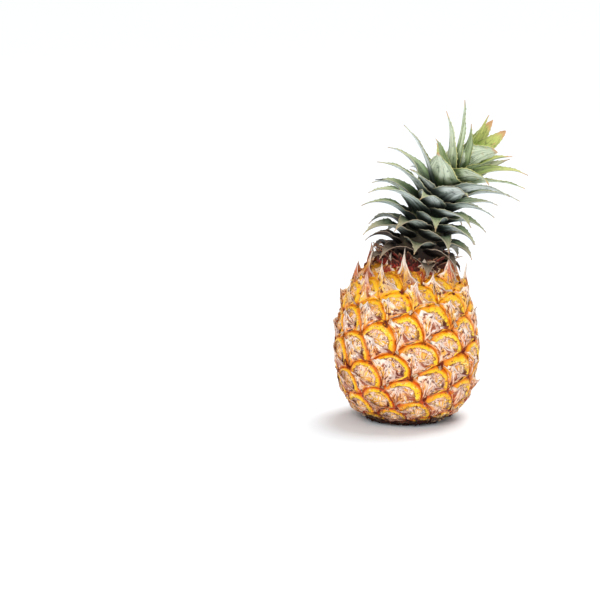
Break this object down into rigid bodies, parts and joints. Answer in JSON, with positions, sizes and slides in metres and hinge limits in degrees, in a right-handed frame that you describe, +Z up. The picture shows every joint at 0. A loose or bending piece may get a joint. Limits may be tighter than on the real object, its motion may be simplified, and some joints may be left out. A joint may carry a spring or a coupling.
{
  "type": "pineapple",
  "caption": "Small whole pineapple with golden diamond eyes and dry bracts, standing on its cut base under a leaning crown of arching spiny leaves.",
  "frame": {"origin": "centre of the cut base that the fruit stands on", "axes": "+Z up through the fruit to the crown; -Y is the front of the fruit; the crown leans towards +X"},
  "size_m": [0.1401, 0.1076, 0.2342],
  "materials": {
    "fruit_skin": "satin",
    "stalk_wood": "matte",
    "stem_green": "matte",
    "lower_leaf": "satin",
    "middle_leaf": "satin",
    "heart_leaf": "satin"
  },
  "bodies": {
    "root": {"fruit": "fruit_skin", "cut_stalk": "stalk_wood", "crown_stem": "stem_green", "leaf_01": "lower_leaf", "leaf_02": "lower_leaf", "leaf_03": "lower_leaf", "leaf_04": "lower_leaf", "leaf_05": "lower_leaf", "leaf_06": "lower_leaf", "leaf_07": "lower_leaf", "leaf_08": "lower_leaf", "leaf_09": "lower_leaf", "leaf_10": "lower_leaf", "leaf_11": "lower_leaf", "leaf_12": "lower_leaf", "leaf_13": "lower_leaf", "leaf_14": "lower_leaf", "leaf_15": "lower_leaf", "leaf_16": "lower_leaf", "leaf_17": "lower_leaf", "leaf_18": "lower_leaf", "leaf_19": "middle_leaf", "leaf_20": "middle_leaf", "leaf_21": "middle_leaf", "leaf_22": "middle_leaf", "leaf_23": "middle_leaf", "leaf_24": "middle_leaf", "leaf_25": "middle_leaf", "leaf_26": "middle_leaf", "leaf_27": "middle_leaf", "leaf_28": "middle_leaf", "leaf_29": "middle_leaf", "leaf_30": "middle_leaf", "leaf_31": "middle_leaf", "leaf_32": "middle_leaf", "leaf_33": "middle_leaf", "leaf_34": "middle_leaf", "leaf_35": "middle_leaf", "leaf_36": "middle_leaf", "leaf_37": "middle_leaf", "leaf_38": "middle_leaf", "leaf_39": "middle_leaf", "leaf_40": "middle_leaf", "leaf_41": "middle_leaf", "leaf_42": "middle_leaf", "leaf_43": "heart_leaf", "leaf_44": "heart_leaf", "leaf_45": "heart_leaf", "leaf_46": "heart_leaf", "leaf_47": "heart_leaf", "leaf_48": "heart_leaf", "leaf_49": "heart_leaf", "leaf_50": "heart_leaf", "leaf_51": "heart_leaf", "leaf_52": "heart_leaf", "leaf_53": "heart_leaf", "leaf_54": "heart_leaf", "leaf_55": "heart_leaf", "leaf_56": "heart_leaf", "leaf_57": "heart_leaf"}
  },
  "joints": []
}
